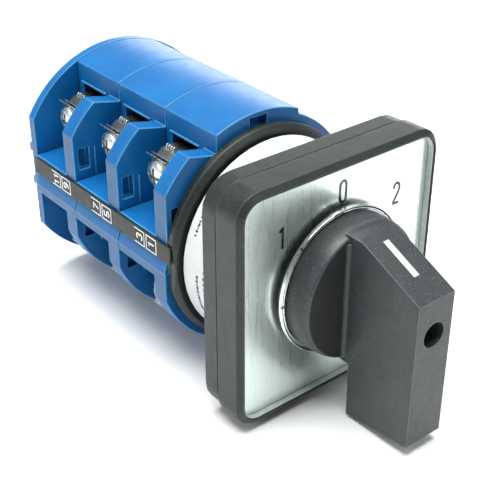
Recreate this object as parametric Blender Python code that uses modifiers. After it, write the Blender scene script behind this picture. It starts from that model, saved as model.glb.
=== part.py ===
"""Manual transfer switch: a three-section rotary cam changeover switch, positions 1-0-2.

Frame: metres, +Z up. The shaft runs along Y through the origin, the handle looks towards -Y
and the contact stack lies towards +Y. The origin is on the shaft axis, in the rear face of
the square mounting flange. The handle is modelled in position 0, pointing up.
"""
from math import acos, asin, cos, degrees, pi, radians, sin

import bmesh
import bpy
from mathutils import Matrix, Vector

# ---- driving dimensions, metres ------------------------------------------------------------
GAP = 0.0003                    # clearance between pieces that touch on the real switch
MARGIN = 0.001                  # how far a cutter runs past the face it opens

PLATE_HALF = 0.032              # the 64 mm square front plate
PLATE_RADIUS = 0.0065
FLANGE_RADIUS = 0.008
FLANGE_FRONT = -0.0047          # the flange runs from here to the origin plane
FRAME_REAR = FLANGE_FRONT - GAP
FRAME_FRONT = -0.0133
FRAME_CHAMFER = 0.0013
FRAME_FLOOR = -0.0105           # the recess floor that carries the legend plate
FRAME_FLOOR_REAR = -0.0083
FRAME_WALL = 0.003              # the frame's outer wall, seen from behind
FRAME_BOSS = 0.0059             # a solid boss round each fixing screw
HUB_CLEARANCE = 0.013           # the hole in the floor for the handle's hub
OPENING_HALF = 0.0303
OPENING_RADIUS = 0.005
FIXING_PITCH_HALF = 0.024       # four fixing screws on a 48 mm square
FIXING_SHANK = 0.0019
FIXING_HEAD = 0.0038
FIXING_HEAD_DEPTH = 0.0014
FIXING_SEAT = -0.0087
FIXING_END = -0.0005
SLOT_HALF = 0.0005              # the driver slots of the larger screws
SLOT_DEPTH = 0.0007

LEGEND_FRONT = -0.0113
LEGEND_INSET = 0.0004           # all round, inside the frame's opening
LEGEND_HOLE = 0.0145
COVER_REAR = -0.0116
COVER_HOLE = 0.0165
COVER_FRONT = -0.0131
RIM_INNER = 0.0187              # the raised rim round the knob, part of the clear cover
RIM_OUTER = 0.0197
RIM_FRONT = -0.0139

KNOB_RADIUS = 0.0184
KNOB_REAR = -0.0135
KNOB_SHOULDER = -0.0172         # from here the knob narrows towards its front face
KNOB_FRONT = -0.021
KNOB_FACE_RADIUS = 0.0173
HUB_RADIUS = 0.0095
HUB_REAR = -0.0062
GRIP_HALF = 0.00575
GRIP_FRONT = -0.0435
RAMP_TOP = (-0.0246, 0.0181)    # y, z of the upper end of the pointer ramp
RAMP_FOOT = (GRIP_FRONT, 0.0096)
TAIL_FRONT = (GRIP_FRONT, -0.0314)
TAIL_REAR = (-0.0235, -0.033)
TAIL_ROOT = (-0.0229, -0.0175)
MARK_START = 0.0025             # the inlaid mark, measured down the ramp from its top
MARK_LENGTH = 0.011
MARK_WIDTH = 0.0018
MARK_DEPTH = 0.0008
SCREW_ACCESS_RADIUS = 0.0033
SCREW_SEAT = -0.034
SCREW_HEAD = 0.0029
SCREW_HEAD_DEPTH = 0.0022
SCREW_END = -0.019
SCREW_HOLE_END = -0.016

SHAFT_HALF = 0.0035             # a 7 mm square shaft
SHAFT_FRONT = -0.0305
SHAFT_REAR = 0.0842
SHAFT_BORE = 0.0054             # round holes that the square shaft turns in

DRUM_RADIUS = 0.027
DRUM_REAR = 0.0149
DETENT_CHAMBER = 0.020
DETENT_FLOOR = 0.003
STAR_RADIUS = 0.0112
STAR_WAVE = 0.0009
STAR_LOBES = 8                  # one notch every 45 degrees
STAR_Y = (0.005, 0.012)
STAR_HUB = 0.0075
STAR_HUB_Y = (0.0035, 0.0145)
ROLLER_RADIUS = 0.003
ROLLER_Y = (0.0045, 0.0125)
SPRING_OUTER = 0.0195           # the spring ring that presses on both rollers
SPRING_INNER = 0.0189
SPRING_Y = (0.0065, 0.0105)
SPRING_ARC = (15, 345)
LABEL_ARC = (40, 222)           # degrees from +X, over the top and down the left side
LABEL_Y = (0.0023, 0.0142)
LABEL_THICKNESS = 0.0002
RING_FRONT = 0.0152
RING_REAR = 0.0182
RING_RADIUS = 0.0300
RING_HALF = 0.0292              # flats on the ring, inside the number strips
RING_CHAMFER = 0.0012

STACK_FRONT = 0.0185
SECTION_COUNT = 3
SECTION_PITCH = 0.02145
SECTION_DEPTH = SECTION_PITCH - GAP
BODY_RADIUS = 0.0335
BODY_HALF = 0.0292              # the flat sides
BARREL_HALF = 0.0134            # the barrel between the two terminal walls
BAY_WALL = 0.0133               # the walls below the barrel's shoulders
FIN_THICKNESS = 0.005
FIN_RADIUS = 0.0349             # the upper left fin stands a little outside the body's circle
LOW_FIN_RADIUS = 0.0321         # the other three stay inside it
LOW_HALF = 0.0302               # the flat sides below the lips
LOW_HALF_TOP = -0.0025          # where they widen, inside the lip
FIN_TOP = 0.0274                # where the top of a fin meets its own arc
FIN_ROOT = 0.0255               # where it meets the barrel's wall
UPPER_FLOOR = 0.0062            # floor of the upper terminal bays
LOWER_CEILING = -0.005
LIP_REACH = 0.0303
LIP_TOP = 0.0005
LIP_EDGE = (-0.0022, -0.0028)   # z of the lip's outer edge, upper and lower
LIP_INSET = 0.0001              # at each end, inside the section
POCKET_X = (0.0243, 0.0276)     # recesses in the front face of each fin
POCKET_UPPER = (0.0090, 0.0152)
POCKET_LOWER = (-0.0120, -0.0085)
POCKET_DEPTH = 0.002
KEY_SLOT_X = (-0.0030, 0.0026)  # an assembly key slot near the top of the front face
KEY_SLOT_Z = (0.0289, 0.0322)
CONTACT_PLANE = 0.0132          # middle of the contacts, behind the front of their section
CAM_CHAMBER = 0.0125
CONTACT_CHAMBER_HALF = 0.0112
CONTACT_CHAMBER_TOP = 0.0293
CONTACT_CHAMBER_LOW = 0.006
WINDOW_BOTTOM = 0.0198
WINDOW_TOP = 0.0249
WINDOW_FRONT = 0.0075
WINDOW_REAR = 0.0188

TIE_BOLT_X = 0.023
TIE_BOLT_Z = 0.0002
TIE_BOLT_RADIUS = 0.0019
TIE_BOLT_FRONT = 0.005
TIE_BOLT_HEAD = 0.0037
TIE_BOLT_HEAD_DEPTH = 0.0026

THROW = radians(45)             # handle travel to each side of 0
CAM_RADIUS = 0.009              # the cam under a bridge in position 0
CAM_LIFT = 0.0016               # bridge travel for one throw
CAM_HALF = 0.004
CAM_HUB = 0.0066
CAM_HUB_GAPS = (0.0005, 0.0002)  # to the wall in front and to the end of the section behind
FOLLOWER_GAP = 0.00045
FOLLOWER_TIP = 0.0008           # half widths of the plunger that follows the cam
FOLLOWER_HALF = 0.003
FOLLOWER_TAPER = 0.0012
BRIDGE_HALF = (0.0095, 0.0035)  # half the bridge's span in x and in y
BRIDGE_THICKNESS = 0.002
CONTACT_GAP_CLOSED = 0.00035

STRIP_THICKNESS = 0.0014        # copper of the fixed contacts
STRIP_HALF = 0.004
STRIP_PATH = ((-0.0056, 0.022), (-0.0176, 0.022), (-0.0188, 0.0209), (-0.0180, 0.0090))
TERMINAL_SCREW_AT = 0.27        # share of the way down the terminal pad
TERMINAL_HOLE = 0.0024
CLAMP_HALF = 0.0045             # the square clamp plate, captive under the screw's head
CLAMP_THICKNESS = 0.0012
TERMINAL_SHANK = 0.0021
TERMINAL_SHANK_END = -0.0044
TERMINAL_HEAD = 0.0041
TERMINAL_HEAD_HEIGHT = 0.0028
CROSS_DEPTH = 0.0014
CROSS_HALF = (0.0024, 0.0005)

REAR_FRONT = STACK_FRONT + SECTION_COUNT * SECTION_PITCH
REAR_BACK = REAR_FRONT + 0.0027
REAR_HALF = 0.0289
REAR_TAB_X = (0.0269, 0.0288)
REAR_TAB_Z = ((0.0062, 0.0085), (-0.0045, -0.0023))
REAR_TAB_DEPTH = 0.0014

NUMBER_STRIP_FRONT = 0.0164
NUMBER_STRIP_Z = (0.0010, 0.0059)
NUMBER_STRIP_THICKNESS = 0.0005

COLLECTION = "manual_transfer_switch"
BLUE = ("blue_plastic", (0.02, 0.16, 0.55, 1), 0.35, 0)
BLACK = ("black_plastic", (0.05, 0.058, 0.058, 1), 0.5, 0)
WHITE = ("white_inlay", (0.85, 0.86, 0.85, 1), 0.5, 0)
CLEAR = ("clear_plastic", (0.85, 0.9, 0.9, 1), 0.08, 0)
SILVER = ("brushed_aluminium", (0.7, 0.72, 0.72, 1), 0.3, 1)
STEEL = ("zinc_plated_steel", (0.62, 0.62, 0.6, 1), 0.28, 1)
CONTACT_METAL = ("plated_brass", (0.72, 0.7, 0.62, 1), 0.25, 1)
CAM_PLASTIC = ("cream_plastic", (0.7, 0.66, 0.52, 1), 0.5, 0)

# Turns that carry the upper-left piece of a section to its other three corners.
CORNERS = {
    "upper_left": (0, 0, 0),
    "upper_right": (0, 0, pi),
    "lower_left": (pi, 0, 0),
    "lower_right": (0, pi, 0),
}


# ---- scene helpers -------------------------------------------------------------------------
def clear_scene():
    for old in list(bpy.data.objects):
        bpy.data.objects.remove(old, do_unlink=True)


def new_collection(name):
    collection = bpy.data.collections.new(name)
    bpy.context.scene.collection.children.link(collection)
    return collection


def material(recipe):
    name, colour, roughness, metallic = recipe
    found = bpy.data.materials.get(name)
    if found:
        return found
    made = bpy.data.materials.new(name)
    made.use_nodes = True
    shader = made.node_tree.nodes["Principled BSDF"]
    shader.inputs["Base Color"].default_value = colour
    shader.inputs["Roughness"].default_value = roughness
    shader.inputs["Metallic"].default_value = metallic
    return made


def link_mesh(name, mesh, collection):
    obj = bpy.data.objects.new(name, mesh)
    collection.objects.link(obj)
    return obj


def finish_part(obj, name, recipe):
    """Name a solid, give it its material and move it to the object's own collection."""
    obj.name = name
    obj.data.materials.clear()
    obj.data.materials.append(material(recipe))
    obj.data.shade_smooth()
    obj.data.set_sharp_from_angle(angle=radians(30))
    for collection in list(obj.users_collection):
        collection.objects.unlink(obj)
    PARTS.objects.link(obj)
    return obj


def as_cutter(obj):
    obj.hide_render = True
    obj.display_type = "WIRE"
    return obj


# ---- solids --------------------------------------------------------------------------------
def mesh_from(bm, name):
    mesh = bpy.data.meshes.new(name)
    bm.to_mesh(mesh)
    bm.free()
    return link_mesh(name, mesh, WORKSHOP)


def box(low, high, name="box"):
    low, high = Vector(low), Vector(high)
    bm = bmesh.new()
    bmesh.ops.create_cube(bm, size=1)
    bmesh.ops.scale(bm, vec=high - low, verts=bm.verts)
    bmesh.ops.translate(bm, vec=(low + high) / 2, verts=bm.verts)
    return mesh_from(bm, name)


def cylinder(radius, front, rear, x=0, z=0, segments=32, name="cylinder"):
    """A cylinder whose axis is parallel to Y."""
    bm = bmesh.new()
    bmesh.ops.create_cone(bm, cap_ends=True, segments=segments,
                          radius1=radius, radius2=radius, depth=rear - front)
    bmesh.ops.rotate(bm, verts=bm.verts, matrix=Matrix.Rotation(-pi / 2, 3, "X"))
    bmesh.ops.translate(bm, vec=(x, (front + rear) / 2, z), verts=bm.verts)
    return mesh_from(bm, name)


def prism(outline, low, high, axis="Y", name="prism"):
    """A flat outline, (x, z) along Y or (y, z) along X, given a thickness from low to high."""
    curve = bpy.data.curves.new(name, "CURVE")
    curve.dimensions = "2D"
    curve.fill_mode = "BOTH"
    curve.extrude = (high - low) / 2
    spline = curve.splines.new("POLY")
    spline.points.add(len(outline) - 1)
    for point, place in zip(spline.points, outline):
        point.co = (place[0], place[1], 0, 1)
    spline.use_cyclic_u = True
    drawn = bpy.data.objects.new(name, curve)
    WORKSHOP.objects.link(drawn)
    middle = (low + high) / 2
    if axis == "Y":
        turn = Matrix(((1, 0, 0, 0), (0, 0, -1, middle), (0, 1, 0, 0), (0, 0, 0, 1)))
    else:
        turn = Matrix(((0, 0, 1, middle), (1, 0, 0, 0), (0, 1, 0, 0), (0, 0, 0, 1)))
    mesh = bake_mesh(drawn, name)
    mesh.transform(turn)
    bpy.data.objects.remove(drawn, do_unlink=True)
    bpy.data.curves.remove(curve)
    return link_mesh(name, mesh, WORKSHOP)


def bake_mesh(obj, name):
    """The mesh that an object evaluates to, welded, in the object's own space."""
    bpy.context.view_layer.update()
    evaluated = obj.evaluated_get(bpy.context.evaluated_depsgraph_get())
    mesh = bpy.data.meshes.new_from_object(evaluated)
    mesh.name = name
    bm = bmesh.new()
    bm.from_mesh(mesh)
    bmesh.ops.remove_doubles(bm, verts=bm.verts, dist=0.000001)
    bm.to_mesh(mesh)
    bm.free()
    return mesh


def turned(profile, steps=40, name="turned"):
    """A profile of (radius, y), listed from the rear to the front, turned round the shaft axis."""
    mesh = bpy.data.meshes.new(name)
    points = [(radius, 0, place) for radius, place in profile]
    mesh.from_pydata(points, [(i, i + 1) for i in range(len(points) - 1)], [])
    obj = link_mesh(name, mesh, WORKSHOP)
    screw = obj.modifiers.new("turn", "SCREW")
    screw.angle = 2 * pi
    screw.steps = steps
    screw.render_steps = steps
    screw.use_merge_vertices = True
    screw.merge_threshold = 0.000001
    baked = bake_mesh(obj, name)
    bpy.data.objects.remove(obj, do_unlink=True)
    bpy.data.meshes.remove(mesh)
    baked.transform(Matrix.Rotation(-pi / 2, 4, "X"))
    return link_mesh(name, baked, WORKSHOP)


def combine(target, other, operation):
    step = target.modifiers.new(operation.lower(), "BOOLEAN")
    step.operation = operation
    step.object = as_cutter(other)
    step.solver = "EXACT"
    return target


def cut(target, *cutters):
    for cutter in cutters:
        combine(target, cutter, "DIFFERENCE")
    return target


def join(target, *others):
    for other in others:
        combine(target, other, "UNION")
    return target


def settle(obj, name):
    """Replace an object and its modifiers by a plain mesh object."""
    mesh = bake_mesh(obj, name)
    mesh.transform(obj.matrix_world)
    tools = [step.object for step in obj.modifiers]
    bpy.data.objects.remove(obj, do_unlink=True)
    for tool in tools:
        bpy.data.objects.remove(tool, do_unlink=True)
    return link_mesh(name, mesh, WORKSHOP)


def copy_of(obj, name, place=(0, 0, 0), turn=(0, 0, 0)):
    twin = link_mesh(name, obj.data, PARTS)
    twin.location = place
    twin.rotation_euler = turn
    return twin


# ---- outlines ------------------------------------------------------------------------------
def arc(radius, start, end, steps, centre=(0, 0)):
    """Points on an arc; angles in degrees from +X towards +Z, both ends included."""
    points = []
    for i in range(steps + 1):
        angle = radians(start + (end - start) * i / steps)
        points.append((centre[0] + radius * cos(angle), centre[1] + radius * sin(angle)))
    return points


def rounded_square(half, radius, steps=5):
    inner = half - radius
    corners = ((inner, inner, 0), (-inner, inner, 90), (-inner, -inner, 180), (inner, -inner, 270))
    points = []
    for x, z, start in corners:
        points += arc(radius, start, start + 90, steps, (x, z))
    return points


def square(half):
    return [(half, half), (-half, half), (-half, -half), (half, -half)]


def mirrored_span(side, span):
    """A span of x given for the right side, in rising order, on the right or the left side."""
    return sorted((side * span[0], side * span[1]))


def low_fin(half):
    """The arc of a lower fin, from the flat side up to the barrel's wall."""
    start = degrees(acos(half / LOW_FIN_RADIUS))
    return arc(LOW_FIN_RADIUS, start, degrees(acos(BARREL_HALF / LOW_FIN_RADIUS)), 6)


def body_outline():
    """The round body with flat sides, wider below the lips; the upper left fin is the tallest."""
    shoulder = degrees(acos(BARREL_HALF / BODY_RADIUS))
    crown = arc(BODY_RADIUS, shoulder, 180 - shoulder, 11)
    flat_start = degrees(acos(BODY_HALF / FIN_RADIUS))
    tall = arc(FIN_RADIUS, flat_start, degrees(asin(FIN_TOP / FIN_RADIUS)), 5)
    tall.append((BARREL_HALF, FIN_ROOT))
    upper = low_fin(BODY_HALF) + crown + [(-x, z) for x, z in reversed(tall)]
    wide = low_fin(LOW_HALF)
    lower = wide + crown + [(-x, z) for x, z in reversed(wide)]
    left = [(-BODY_HALF, LOW_HALF_TOP), (-LOW_HALF, LOW_HALF_TOP)]
    right = [(LOW_HALF, LOW_HALF_TOP), (BODY_HALF, LOW_HALF_TOP)]
    return upper + left + [(-x, -z) for x, z in lower] + right


def cam_outline(steps=48):
    """A cam whose radius falls evenly under the upper bridge and rises under the lower one."""
    points = []
    for i in range(steps):
        turn = 2 * pi * i / steps           # clockwise from the top, seen from the handle
        if turn <= THROW:
            share = -turn / THROW
        elif turn < pi - THROW:
            share = -1
        elif turn <= pi + THROW:
            share = (turn - pi) / THROW
        elif turn < 2 * pi - THROW:
            share = 1
        else:
            share = (2 * pi - turn) / THROW
        radius = CAM_RADIUS + CAM_LIFT * share
        points.append((radius * sin(turn), radius * cos(turn)))
    return points


def star_outline(steps=64):
    """The detent star, with a notch facing each roller in every handle position."""
    points = []
    for i in range(steps):
        turn = 2 * pi * i / steps
        radius = STAR_RADIUS - STAR_WAVE * cos(STAR_LOBES * turn)
        points.append((radius * cos(turn), radius * sin(turn)))
    return points


def band_outline(path, thickness):
    """The outline of a strip of even thickness that follows a path, with mitred corners."""
    points = [Vector(point) for point in path]
    sides = []
    for first, second in zip(points, points[1:]):
        along = (second - first).normalized()
        sides.append(Vector((-along.y, along.x)))
    normals = [sides[0]]
    for first, second in zip(sides, sides[1:]):
        middle = (first + second).normalized()
        normals.append(middle / middle.dot(first))
    normals.append(sides[-1])
    one = [point + normal * thickness / 2 for point, normal in zip(points, normals)]
    other = [point - normal * thickness / 2 for point, normal in zip(points, normals)]
    return [tuple(point) for point in one + other[::-1]]


# ---- handle and shaft ----------------------------------------------------------------------
def ramp_frame():
    """The ramp's upper end, its direction downhill and its outward normal, in the YZ plane."""
    start = Vector((0, *RAMP_TOP))
    along = (Vector((0, *RAMP_FOOT)) - start).normalized()
    return start, along, Vector((0, along.z, -along.y))


def ramp_block(width, length, low, high, start):
    """A block laid along the ramp, from low to high along the ramp's normal."""
    origin, along, outward = ramp_frame()
    block = box((-width / 2, start, low), (width / 2, start + length, high))
    turn = Matrix((Vector((-1, 0, 0)), along, outward)).transposed().to_4x4()
    turn.translation = origin
    block.data.transform(turn)
    return block


def make_handle():
    knob = turned([(0, HUB_REAR), (HUB_RADIUS, HUB_REAR), (HUB_RADIUS, KNOB_REAR),
                   (KNOB_RADIUS, KNOB_REAR), (KNOB_RADIUS, KNOB_SHOULDER),
                   (KNOB_FACE_RADIUS, KNOB_FRONT), (0, KNOB_FRONT)])
    inside = KNOB_FRONT + 0.002
    grip = prism([(inside, RAMP_TOP[1]), RAMP_TOP, RAMP_FOOT, TAIL_FRONT, TAIL_REAR, TAIL_ROOT,
                  (inside, TAIL_ROOT[1])], -GRIP_HALF, GRIP_HALF, axis="X")
    join(knob, grip)
    socket = SHAFT_HALF + GAP
    cut(knob,
        prism(square(socket), SHAFT_FRONT - GAP, HUB_REAR + MARGIN),
        cylinder(FIXING_SHANK + GAP, SCREW_SEAT - MARGIN, SHAFT_FRONT, segments=16),
        cylinder(SCREW_ACCESS_RADIUS, GRIP_FRONT - MARGIN, SCREW_SEAT, segments=24),
        ramp_block(MARK_WIDTH + GAP, MARK_LENGTH + GAP, -MARK_DEPTH - GAP, MARGIN,
                   MARK_START - GAP / 2))
    return finish_part(settle(knob, "handle"), "handle", BLACK)


def make_handle_mark():
    mark = ramp_block(MARK_WIDTH, MARK_LENGTH, -MARK_DEPTH, 0, MARK_START)
    return finish_part(mark, "handle_mark", WHITE)


def make_handle_screw():
    head_rear = SCREW_SEAT - GAP
    head_front = head_rear - SCREW_HEAD_DEPTH
    reach = SCREW_HEAD + MARGIN
    head = cylinder(SCREW_HEAD, head_front, head_rear, segments=16)
    join(head, cylinder(FIXING_SHANK, head_rear - SLOT_DEPTH, SCREW_END, segments=12))
    cut(head, box((-SLOT_HALF, head_front - MARGIN, -reach),
                  (SLOT_HALF, head_front + SLOT_DEPTH, reach)))
    return finish_part(settle(head, "handle_screw"), "handle_screw", STEEL)


def make_shaft():
    bar = prism(square(SHAFT_HALF), SHAFT_FRONT, SHAFT_REAR)
    cut(bar, cylinder(FIXING_SHANK + GAP, SHAFT_FRONT - MARGIN, SCREW_HOLE_END, segments=12))
    return finish_part(settle(bar, "shaft"), "shaft", STEEL)


# ---- front plate ---------------------------------------------------------------------------
def fixing_places():
    step = FIXING_PITCH_HALF
    return [(-step, step), (step, step), (-step, -step), (step, -step)]


def chamfer_front(obj, front, width):
    """Chamfer the outer edges that lie in the plane y = front."""
    bm = bmesh.new()
    bm.from_mesh(obj.data)
    edges = [edge for edge in bm.edges
             if all(abs(vert.co.y - front) < 0.00001 for vert in edge.verts)
             and any(abs(face.normal.y) < 0.5 for face in edge.link_faces)]
    bmesh.ops.bevel(bm, geom=edges, offset=width, segments=1, affect="EDGES")
    bm.to_mesh(obj.data)
    bm.free()
    return obj


def make_front_frame():
    frame = prism(rounded_square(PLATE_HALF, PLATE_RADIUS), FRAME_FRONT, FRAME_REAR)
    chamfer_front(frame, FRAME_FRONT, FRAME_CHAMFER)
    cut(frame,
        prism(rounded_square(OPENING_HALF, OPENING_RADIUS), FRAME_FRONT - MARGIN, FRAME_FLOOR),
        prism(rounded_square(PLATE_HALF - FRAME_WALL, PLATE_RADIUS - FRAME_WALL),
              FRAME_FLOOR_REAR, FRAME_REAR + MARGIN),
        cylinder(HUB_CLEARANCE, FRAME_FLOOR - MARGIN, FRAME_FLOOR_REAR + MARGIN, segments=28))
    for x, z in fixing_places():
        join(frame, cylinder(FRAME_BOSS, FRAME_FLOOR + MARGIN / 2, FRAME_REAR, x, z, 12))
    for x, z in fixing_places():
        cut(frame,
            cylinder(FIXING_HEAD + GAP, FRAME_FLOOR - MARGIN, FIXING_SEAT, x, z, 16),
            cylinder(FIXING_SHANK + GAP, FIXING_SEAT - MARGIN, FRAME_REAR + MARGIN, x, z, 12))
    return finish_part(settle(frame, "front_frame"), "front_frame", BLACK)


def make_fixing_screws():
    head_rear = FIXING_SEAT - GAP
    head_front = head_rear - FIXING_HEAD_DEPTH
    reach = FIXING_HEAD + MARGIN
    head = cylinder(FIXING_HEAD, head_front, head_rear, segments=16)
    join(head, cylinder(FIXING_SHANK, head_rear - SLOT_DEPTH, FIXING_END, segments=12))
    cut(head, box((-SLOT_HALF, head_front - MARGIN, -reach),
                  (SLOT_HALF, head_front + SLOT_DEPTH, reach)))
    screw = finish_part(settle(head, "fixing_screw"), "fixing_screw", STEEL)
    for number, (x, z) in enumerate(fixing_places(), 1):
        copy_of(screw, f"fixing_screw_{number}", (x, 0, z))
    bpy.data.objects.remove(screw, do_unlink=True)


def make_legend_plate():
    plate = prism(rounded_square(OPENING_HALF - LEGEND_INSET, OPENING_RADIUS - LEGEND_INSET),
                  LEGEND_FRONT, FRAME_FLOOR - GAP)
    cut(plate, cylinder(LEGEND_HOLE, LEGEND_FRONT - MARGIN, FRAME_FLOOR, segments=28))
    return finish_part(settle(plate, "legend_plate"), "legend_plate", SILVER)


def make_clear_cover():
    cover = prism(rounded_square(OPENING_HALF - GAP, OPENING_RADIUS - GAP), COVER_FRONT, COVER_REAR)
    join(cover, cylinder(RIM_OUTER, RIM_FRONT, (COVER_FRONT + COVER_REAR) / 2, segments=56))
    cut(cover,
        cylinder(RIM_INNER, RIM_FRONT - MARGIN, COVER_FRONT, segments=56),
        cylinder(COVER_HOLE, COVER_FRONT - MARGIN, COVER_REAR + MARGIN, segments=32))
    return finish_part(settle(cover, "clear_cover"), "clear_cover", CLEAR)


# ---- mounting flange, drum and detent ------------------------------------------------------
def tie_bolt_holes(front, rear):
    return [cylinder(TIE_BOLT_RADIUS + GAP, front, rear, side * TIE_BOLT_X, TIE_BOLT_Z, 12)
            for side in (-1, 1)]


def make_detent_housing():
    flange = prism(rounded_square(PLATE_HALF, FLANGE_RADIUS), FLANGE_FRONT, 0)
    join(flange, cylinder(DRUM_RADIUS, -0.001, DRUM_REAR, segments=56))
    cut(flange,
        cylinder(DETENT_CHAMBER, DETENT_FLOOR, DRUM_REAR + MARGIN, segments=36),
        cylinder(SHAFT_BORE, FLANGE_FRONT - MARGIN, DETENT_FLOOR + MARGIN, segments=20),
        *tie_bolt_holes(TIE_BOLT_FRONT - GAP, DRUM_REAR + MARGIN))
    for x, z in fixing_places():
        cut(flange, cylinder(FIXING_SHANK + GAP, FLANGE_FRONT - MARGIN, MARGIN, x, z, 12))
    return finish_part(settle(flange, "detent_housing"), "detent_housing", BLACK)


def make_rating_label():
    start, end = LABEL_ARC
    inner = DRUM_RADIUS + GAP
    outline = arc(inner + LABEL_THICKNESS, start, end, 26) + arc(inner, end, start, 26)
    return finish_part(prism(outline, *LABEL_Y), "rating_label", WHITE)


def make_detent_star():
    hub_front, hub_rear = STAR_HUB_Y
    star = prism(star_outline(), *STAR_Y)
    join(star, cylinder(STAR_HUB, hub_front, hub_rear, segments=20))
    cut(star, prism(square(SHAFT_HALF + GAP), hub_front - MARGIN, hub_rear + MARGIN))
    return finish_part(settle(star, "detent_star"), "detent_star", CAM_PLASTIC)


def make_detent_rollers():
    reach = STAR_RADIUS + STAR_WAVE + GAP + ROLLER_RADIUS
    for side, name in ((-1, "left"), (1, "right")):
        roller = cylinder(ROLLER_RADIUS, *ROLLER_Y, side * reach, 0, 16)
        finish_part(roller, f"detent_roller_{name}", STEEL)


def make_detent_spring():
    start, end = SPRING_ARC
    outline = arc(SPRING_OUTER, start, end, 30) + arc(SPRING_INNER, end, start, 30)
    return finish_part(prism(outline, *SPRING_Y), "detent_spring", STEEL)


def make_flange_ring():
    ring = turned([(0, RING_REAR), (RING_RADIUS, RING_REAR),
                   (RING_RADIUS, RING_FRONT + RING_CHAMFER),
                   (RING_RADIUS - RING_CHAMFER, RING_FRONT), (0, RING_FRONT)], steps=56)
    far = RING_RADIUS + MARGIN
    combine(ring, box((-RING_HALF, RING_FRONT - MARGIN, -far),
                      (RING_HALF, RING_REAR + MARGIN, far)), "INTERSECT")
    cut(ring,
        cylinder(SHAFT_BORE, RING_FRONT - MARGIN, RING_REAR + MARGIN, segments=20),
        *tie_bolt_holes(RING_FRONT - MARGIN, RING_REAR + MARGIN))
    return finish_part(settle(ring, "flange_ring"), "flange_ring", BLACK)


# ---- contact sections ----------------------------------------------------------------------
def bay_boxes():
    """The four terminal bays: two above and two below, behind the fin."""
    far = FIN_RADIUS + MARGIN
    rear = SECTION_DEPTH + MARGIN
    boxes = []
    for low, high in ((-far, -BAY_WALL), (BAY_WALL, far)):
        boxes.append(box((low, FIN_THICKNESS, UPPER_FLOOR), (high, rear, far)))
        boxes.append(box((low, FIN_THICKNESS, -far), (high, rear, LOWER_CEILING)))
    return boxes


def window_boxes():
    """The openings in the barrel's walls through which the fixed contacts pass."""
    boxes = []
    span = (CONTACT_CHAMBER_HALF - MARGIN, BARREL_HALF + MARGIN)
    for side in (-1, 1):
        x_low, x_high = mirrored_span(side, span)
        for z_low, z_high in ((WINDOW_BOTTOM, WINDOW_TOP), (-WINDOW_TOP, -WINDOW_BOTTOM)):
            boxes.append(box((x_low, WINDOW_FRONT, z_low), (x_high, WINDOW_REAR, z_high)))
    return boxes


def fin_pockets():
    """Shallow rectangular recesses in the front face of each fin."""
    boxes = []
    for side in (-1, 1):
        x_low, x_high = mirrored_span(side, POCKET_X)
        for z_low, z_high in (POCKET_UPPER, POCKET_LOWER):
            boxes.append(box((x_low, -MARGIN, z_low), (x_high, POCKET_DEPTH, z_high)))
    return boxes


def key_slot():
    x_low, x_high = KEY_SLOT_X
    z_low, z_high = KEY_SLOT_Z
    return box((x_low, -MARGIN, z_low), (x_high, POCKET_DEPTH, z_high))


def lip(side):
    """The sloping lip under the number strip, along the whole section."""
    root = BODY_HALF - MARGIN
    edge_top, edge_low = LIP_EDGE
    outline = [(root, LIP_TOP), (BODY_HALF, LIP_TOP), (LIP_REACH, edge_top),
               (LIP_REACH, edge_low), (root, edge_low)]
    placed = [(side * x, z) for x, z in outline]
    return prism(placed, LIP_INSET, SECTION_DEPTH - LIP_INSET)


def section_mesh():
    body = prism(body_outline(), 0, SECTION_DEPTH)
    chamber_front = FIN_THICKNESS + GAP
    chamber_rear = SECTION_DEPTH + MARGIN
    half, low, top = CONTACT_CHAMBER_HALF, CONTACT_CHAMBER_LOW, CONTACT_CHAMBER_TOP
    cut(body, *bay_boxes())
    join(body, lip(-1), lip(1))
    cut(body,
        cylinder(CAM_CHAMBER, FIN_THICKNESS, chamber_rear, segments=28),
        box((-half, chamber_front, low), (half, chamber_rear, top)),
        box((-half, chamber_front, -top), (half, chamber_rear, -low)),
        *window_boxes(),
        *fin_pockets(),
        key_slot(),
        cylinder(SHAFT_BORE, -MARGIN, FIN_THICKNESS + MARGIN, segments=20),
        *tie_bolt_holes(-MARGIN, chamber_rear))
    return settle(body, "section")


def make_sections():
    section = finish_part(section_mesh(), "section", BLUE)
    for number in range(SECTION_COUNT):
        copy_of(section, f"section_{number + 1}", (0, STACK_FRONT + number * SECTION_PITCH, 0))
    bpy.data.objects.remove(section, do_unlink=True)


def make_cams():
    """One cam disc on its hub in every section; the hub's ends stay clear of the walls."""
    cam = prism(cam_outline(), CONTACT_PLANE - CAM_HALF, CONTACT_PLANE + CAM_HALF)
    front, rear = FIN_THICKNESS + CAM_HUB_GAPS[0], SECTION_DEPTH - CAM_HUB_GAPS[1]
    join(cam, cylinder(CAM_HUB, front, rear, segments=16))
    cut(cam, prism(square(SHAFT_HALF + GAP), front - MARGIN, rear + MARGIN))
    cam = finish_part(settle(cam, "cam"), "cam", CAM_PLASTIC)
    for number in range(SECTION_COUNT):
        copy_of(cam, f"cam_{number + 1}", (0, STACK_FRONT + number * SECTION_PITCH, 0))
    bpy.data.objects.remove(cam, do_unlink=True)


def contact_plane(number):
    return STACK_FRONT + number * SECTION_PITCH + CONTACT_PLANE


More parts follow.
